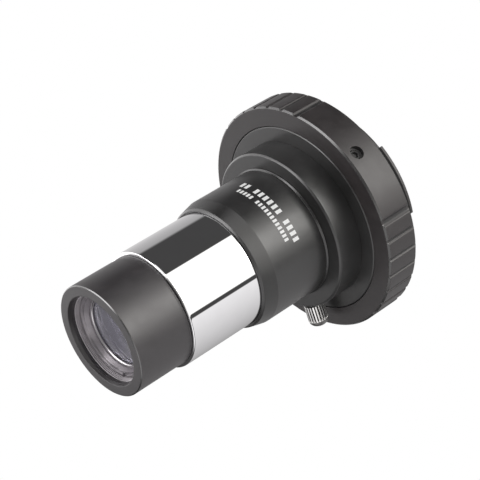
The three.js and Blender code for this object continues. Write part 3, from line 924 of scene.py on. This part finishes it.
def t_ring_body():
    grooves = groove_list()
    shares = (-1.0, -0.86, -0.7, -0.52, -0.34, -0.15, 0.15, 0.34, 0.52, 0.7, 0.86, 1.0)
    columns = set(np.round(np.arange(0, 360, 1.5), 4))
    for angle, half, _ in grooves:
        columns = {c for c in columns if abs((c - angle + 180) % 360 - 180) > half + 0.3}
        columns |= {round((angle + share * half) % 360, 4) for share in shares}

    def grip(angles, radii, heights):
        floor = np.full_like(angles, RIM_R)
        for angle, half, depth in grooves:
            share = np.abs((angles - angle + 180) % 360 - 180) / half
            rise = np.clip((share - 0.3) / 0.7, 0, 1)
            rise = rise * rise * (3 - 2 * rise)
            floor = np.minimum(floor, RIM_R - depth * (1 - rise))
        return np.minimum(radii, floor[None, :] * np.ones_like(radii))

    recess_r = PLATE_R + SLIP
    bevel_rows = [[RIM_R - BEVEL_IN * t, RIM_FRONT - BEVEL_DOWN * (1 - t), 0]
                  for t in (0.15, 0.3, 0.45, 0.6, 0.75)]
    piece = turned("t_ring_rim", [
        [SEAM_R, MOUNT_TOP + 0.05],
        [recess_r, MOUNT_TOP + 0.05, 0],
        [recess_r, RIM_BACK],
        [RIM_R - REAR_CHAMFER_IN, RIM_BACK, 0.04],
        [RIM_R, RIM_BACK + 0.4, 0.04],
        [RIM_R, RIM_FRONT - BEVEL_DOWN, 0.06],
        *bevel_rows,
        [RIM_R - BEVEL_IN, RIM_FRONT, 0.06],
        [SEAM_R + 0.08, RIM_FRONT, FINE_EDGE],
        [SEAM_R, RIM_FRONT - 0.1, FINE_EDGE],
    ], sorted(columns), grip)
    sink_r = SET_SCREW_R + 0.35
    cut(piece, rim_holes(sink_r))

    def in_set_screw_hole(r, z):
        return SEAM_R + 0.1 < r < RIM_R - 0.3 and abs(z - SET_SCREW_Z) < sink_r

    paint_faces(piece, 1, lambda r, z: r > RIM_R - BEVEL_IN and z > RIM_FRONT - BEVEL_DOWN - 0.02)
    # Painted light: the set screws' hole walls take the lighter black steel, lifting the shade inside
    # the holes.
    paint_faces(piece, 2, in_set_screw_hole)
    # Painted shade: the rim's rear chamfer is matte black, standing in for the shadowed gap between the
    # rim and the bayonet lugs.
    paint_faces(piece, 3, lambda r, z: r > RIM_R - REAR_CHAMFER_IN and z < RIM_BACK + 0.36)
    dress(piece, "t_ring", "black_anodised", "t_ring_body",
          materials=[ring_black, ring_edge, black_steel, matte_black])


def index_dot():
    middle = middle_of("index_dot")
    piece = turned("red_index_dot", [
        [0, RIM_R - 0.45], [0.9, RIM_R - 0.45, 0], [0.9, RIM_R - 0.28, 0.08],
        *[[0.8 * math.cos(t), RIM_R - 0.22 + 0.12 * math.sin(t), 0] for t in (0.3, 0.7, 1.1)],
        [0, RIM_R - 0.1]], SMALL_COLUMNS)
    aim(piece, angle_of(middle), middle.z)
    dress(piece, "t_ring", "red_paint", "index_dot", materials=[red_paint])


LUG_R = 26.4
LUG_HEIGHT = 1.6
LUG_HALF = 21.5          # degrees on each side of a lug's middle
FIRST_LUG = -77
NECK_R = 24.9
THROAT_R = 23.2
LOCK_ANGLE, LOCK_RING_R = 13.0, 27.4    # place of the lock pin's hole


def bayonet():
    lug_middles = [FIRST_LUG + 120 * i for i in range(3)]
    columns = set(np.round(np.arange(0, 360, 2.0), 4))
    for middle in lug_middles:
        for side in (-1, 1):
            end = (middle + side * LUG_HALF) % 360
            columns |= {round((end - side * back) % 360, 4) for back in (0.0, 0.25, 0.6, 1.0, -0.15)}

    def lugs(angles, radii, heights):
        reach = np.full_like(angles, NECK_R)
        for middle in lug_middles:
            off = LUG_HALF - np.abs((angles - middle + 180) % 360 - 180)
            share = np.sqrt(np.clip(off, 0, 1.0))
            reach = np.where(off > 0, NECK_R + (LUG_R - NECK_R) * (0.35 + 0.65 * share), reach)
        limit = np.where(heights < LUG_HEIGHT + 0.3, reach[None, :] * np.ones_like(radii), 1e3)
        return np.minimum(radii, limit)

    piece = turned("bayonet_plate", [
        [THROAT_R + 0.3, MOUNT_BACK],
        [LUG_R - 0.35, MOUNT_BACK, 0.1],
        [LUG_R, MOUNT_BACK + 0.35, 0.1],
        [LUG_R, LUG_HEIGHT - 0.6, 0.04],
        [LUG_R - 0.45, LUG_HEIGHT, 0],
        [NECK_R + 0.1, LUG_HEIGHT, 0],
        [NECK_R, LUG_HEIGHT + 0.1, 0],
        [NECK_R, FLANGE, 0.1],
        [PLATE_R - 0.3, FLANGE],
        [PLATE_R, FLANGE + 0.3],
        [PLATE_R, MOUNT_TOP, FINE_EDGE],
        [THROAT_R, MOUNT_TOP, FINE_EDGE],
        [THROAT_R, MOUNT_TOP - 1.6, 0],
        [THROAT_R + 0.25, MOUNT_TOP - 1.7, 0],
        [THROAT_R + 0.25, MOUNT_TOP - 2.1, 0],
        [THROAT_R, MOUNT_TOP - 2.2, 0],
        [THROAT_R, MOUNT_BACK + 0.3],
    ], sorted(columns), lugs)
    cutters = []
    for i in (1, 2, 3):
        middle, head_r, head_z, _ = plate_screw(i)
        sink_r, sink_z = head_r + 0.12, head_z + 0.12
        sink = turned("sink", [
            [0, head_z - 0.8, 0], [sink_r, head_z - 0.8, 0], [sink_r, sink_z, 0],
            [PLATE_HOLE_R, sink_z + sink_r - PLATE_HOLE_R, 0], [PLATE_HOLE_R, MOUNT_TOP + 1, 0],
            [0, MOUNT_TOP + 1, 0]], SMALL_COLUMNS)
        cutters.append(shift(sink, middle.x, middle.y))
    lock = turned("lock", [
        [0, FLANGE - 1, 0], [1.7, FLANGE - 1, 0], [1.4, FLANGE + 0.25, 0],
        [1.4, FLANGE + 1.4, 0], [0, FLANGE + 1.6, 0]], SMALL_COLUMNS)
    cutters.append(shift(lock, LOCK_RING_R, spin=LOCK_ANGLE))
    cut(piece, cutters)
    # Painted shade: the lugs' top chamfer is matte black, standing in for the shadow under the rim.
    paint_faces(piece, 1, lambda r, z: r > NECK_R + 0.2 and LUG_HEIGHT - 0.55 < z < LUG_HEIGHT + 0.05)
    dress(piece, "t_ring", "black_anodised", "bayonet_mount", materials=[ring_black, matte_black])


def mount_screws():
    shank = 0.75
    for i in (1, 2, 3):
        middle, head_r, face, point = plate_screw(i)
        piece = turned(f"plate_screw_{i}", [
            [0, face], [head_r - 0.05, face, 0.04], [head_r, face + 0.1, 0.04],
            [shank, face + 0.1 + head_r - shank, 0], [shank - 0.12, face + 1.0, 0],
            Thread(shank, 0.4, face + 1.05, point - 0.2),
            [shank - 0.3, point, 0], [0, point]], SMALL_COLUMNS)
        slot = slab("slot", (0, 0, face), (4 * head_r, 0.4, 0.7))
        slot.data.transform(Matrix.Rotation(math.radians(35 * i), 4, "Z"))
        cut(piece, [slot])
        shift(piece, middle.x, middle.y)
        dress(piece, "t_ring", "nickel", f"mount_screw_{i}", materials=[nickel])


def set_screws():
    radius = SET_SCREW_R - SLIP
    point_r = radius * 0.8
    tip = SEAM_R - 1.0
    outer = RIM_R - 1.2
    socket_r, lead_r = 0.866, 1.05
    for i, angle in enumerate(SET_SCREW_ANGLES, start=1):
        piece = turned(f"grub_screw_{i}", [
            [0, tip],
            [point_r, tip + point_r, 0],
            Thread(radius, 0.5, tip + radius, outer - 0.2),
            [radius - 0.05, outer, FINE_EDGE],
            [0, outer],
        ], SCREW_COLUMNS)
        socket = turned("socket", rod_outline(socket_r, outer - 0.6, outer + 1), 6)
        lead = turned("lead", [
            [0, outer - 0.15, 0], [0.78, outer - 0.15, 0], [lead_r, outer + 0.12, 0],
            [0, outer + 0.12, 0]], SMALL_COLUMNS)
        cut(piece, [socket, lead])
        aim(piece, angle, SET_SCREW_Z)
        dress(piece, f"set_{i}", "black_steel", f"set_screw_{i}", materials=[black_steel])


# ------------------------ studio

CAMERA_AZIMUTH = 23.0        # 0 looks along +y, 90 along -x
CAMERA_ELEVATION = 32.35
CAMERA_ROLL = 121.34         # how far the camera is turned about its own line of sight
CAMERA_LENS = 119.135
CAMERA_OFFSET = (33.33, 24.27, 378.56)   # right, up and back from the middle of the lens cell's front

# The studio seen only in reflections. Angles are degrees: the sideways ones go anticlockwise from the
# camera's side as seen from above, the upright ones go up from the horizon.
LOW_PANELS = (
    # from, to, brightness at each, softness of both sides, top; all reach from straight down
    (-43, 41, 1.35, 1.35, 2.0, 15),
    (-178, -51, 0.24, 0.93, 2.0, -6),
    (112, 179, 0.34, 0.72, 9.0, -2),
)
LOW_TOP_EDGE = 8
HIGH_PANELS = (
    # brightness, sideways middle, half width, softness, bottom, top, softness
    (3.35, -1, 18.5, 20, -54, -12, 14),
    (5.4, 84, 36, 16, 33, 64, 10),
    (1.85, 137, 42, 12, -12, 38, 10),
    (1.1, -70, 46, 20, 22, 60, 12),
    (1.6, 53, 13, 8, -22, 0, 8),
    (0.8, -145, 40, 20, 40, 66, 12),
    (0.35, 0, 180, 1, 50, 100, 20),
)
ROOM = 0.066                        # brightness where there is no panel
ROOM_TINT = (1.0, 0.985, 0.99)
KEY_TINT = (1.0, 0.985, 0.955)
KEY_FADE = (30, 60)                 # degrees from the camera's side over which the key tint goes
PLAIN_LIGHT = (0.8, 0.8, 0.8, 1.0)
FLOOR_GAP = 0.0002                  # metres below the T-ring at its lowest


def sideways(graph, x, y, middle):
    """Degrees anticlockwise from a direction in the plane of the floor."""
    facing = math.radians(CAMERA_AZIMUTH - 90 + middle)
    ahead = graph.math("ADD", graph.math("MULTIPLY", x, math.cos(facing)),
                       graph.math("MULTIPLY", y, math.sin(facing)))
    across = graph.math("SUBTRACT", graph.math("MULTIPLY", y, math.cos(facing)),
                        graph.math("MULTIPLY", x, math.sin(facing)))
    return graph.math("DEGREES", graph.math("ARCTAN2", across, ahead))


def studio_reflections(graph, direction):
    """Brightness of the studio in a direction: a dim room with soft panels added."""
    split = graph.node("SeparateXYZ", {0: direction})
    x, y, z = split.outputs
    height = graph.math("DEGREES", graph.math("ARCSINE", z))
    total = ROOM
    for start, end, at_start, at_end, side, top in LOW_PANELS:
        under = graph.ramp(height, top - LOW_TOP_EDGE / 2, top + LOW_TOP_EDGE / 2, 1.0, 0.0)
        half = (end - start) / 2
        off = sideways(graph, x, y, (start + end) / 2)
        shine = graph.slope(off, -half, half, at_start, at_end)
        wide = graph.ramp(graph.math("ABSOLUTE", off), half - side / 2, half + side / 2, 1.0, 0.0)
        lit = graph.math("MULTIPLY", graph.math("MULTIPLY", wide, under), shine)
        total = graph.math("ADD", total, lit)
    for brightness, middle, half, side, low, high, end in HIGH_PANELS:
        off = graph.math("ABSOLUTE", sideways(graph, x, y, middle))
        wide = graph.ramp(off, half - side / 2, half + side / 2, 1.0, 0.0)
        bottom = graph.ramp(height, low - end / 2, low + end / 2)
        top = graph.ramp(height, high - end / 2, high + end / 2, 1.0, 0.0)
        lit = graph.math("MULTIPLY", graph.math("MULTIPLY", wide, bottom), top)
        total = graph.math("ADD", total, graph.math("MULTIPLY", lit, brightness))
    warmth = graph.ramp(graph.math("ABSOLUTE", sideways(graph, x, y, 0)), *KEY_FADE, 1.0, 0.0)
    tint = graph.blend(warmth, (*ROOM_TINT, 1.0), (*KEY_TINT, 1.0))
    return total, tint


def studio_world():
    """Plain light all round, and the studio's panels in reflections."""
    world = bpy.data.worlds.new("studio")
    world.use_nodes = True
    bpy.context.scene.world = world
    graph = Graph(world.node_tree)
    direction = graph.node("TexCoord").outputs["Generated"]
    strength, tint = studio_reflections(graph, direction)
    panels = graph.node("Background", {"Color": tint, "Strength": strength})
    plain = graph.node("Background", {"Color": PLAIN_LIGHT, "Strength": 1.0})
    path = graph.node("LightPath")
    mirrored = graph.node("MixShader", {0: path.outputs["Is Glossy Ray"], 1: plain.outputs[0],
                                        2: panels.outputs[0]})
    graph.node("OutputWorld", {"Surface": mirrored.outputs[0]})


def studio_floor():
    """A white floor that is clear from below and isn't seen in reflections."""
    work = bmesh.new()
    bmesh.ops.create_grid(work, x_segments=8, y_segments=8, size=6.0)
    mesh = bpy.data.meshes.new("floor")
    work.to_mesh(mesh)
    work.free()
    floor = bpy.data.objects.new("floor", mesh)
    bpy.context.scene.collection.objects.link(floor)
    floor.location.z = cad_box[0].z - joint("t_ring_travel")["range_m"][1] - FLOOR_GAP
    material = bpy.data.materials.new("pale_floor")
    material.use_nodes = True
    graph = Graph(material.node_tree)
    glow = graph.node("Emission", {"Color": (1.0, 1.0, 1.0, 1.0), "Strength": 1.0})
    clear = graph.node("BsdfTransparent")
    below = graph.node("NewGeometry").outputs["Backfacing"]
    one_sided = graph.node("MixShader", {0: below, 1: glow.outputs[0], 2: clear.outputs[0]})
    graph.node("OutputMaterial", {"Surface": one_sided.outputs[0]})
    mesh.materials.append(material)
    floor.visible_glossy = False


def studio_camera():
    azimuth, elevation = math.radians(CAMERA_AZIMUTH), math.radians(CAMERA_ELEVATION)
    back = Vector((math.sin(azimuth) * math.cos(elevation),
                   -math.cos(azimuth) * math.cos(elevation), math.sin(elevation)))
    level = Vector((math.cos(azimuth), math.sin(azimuth), 0.0))
    upright = back.cross(level)
    roll = math.radians(CAMERA_ROLL)
    right = math.cos(roll) * level - math.sin(roll) * upright
    up = math.sin(roll) * level + math.cos(roll) * upright
    offset = Vector(CAMERA_OFFSET) * MM
    place = Vector((0, 0, CELL_FRONT * MM)) + offset.x * right + offset.y * up + offset.z * back
    data = bpy.data.cameras.new("camera")
    data.lens = CAMERA_LENS
    data.sensor_width = 36.0
    data.clip_start = 0.01
    data.clip_end = 50.0
    camera = bpy.data.objects.new("camera", data)
    bpy.context.scene.collection.objects.link(camera)
    turn = Matrix((right, up, back)).transposed().to_4x4()
    camera.matrix_world = Matrix.Translation(place) @ turn
    bpy.context.scene.camera = camera


def clear_stray_objects():
    """Removes a start-up scene's own cube, light and camera."""
    ours = set(frame["nodes"].values()) | set(frame["bodies"].values())
    for stray in [o for o in bpy.data.objects if o not in ours]:
        bpy.data.objects.remove(stray)


clear_stray_objects()
lens_cell()
lens_retainer()
lens_elements()
lens_spacer()
nose_barrel()
body_tube()
eyepiece_holder()
compression_ring()
printed_rows()
thumbscrew()
thumbscrew_pad()
t_ring_insert()
t_ring_body()
index_dot()
bayonet()
mount_screws()
set_screws()
studio_world()
studio_floor()
studio_camera()
bpy.context.scene.view_settings.view_transform = "Standard"
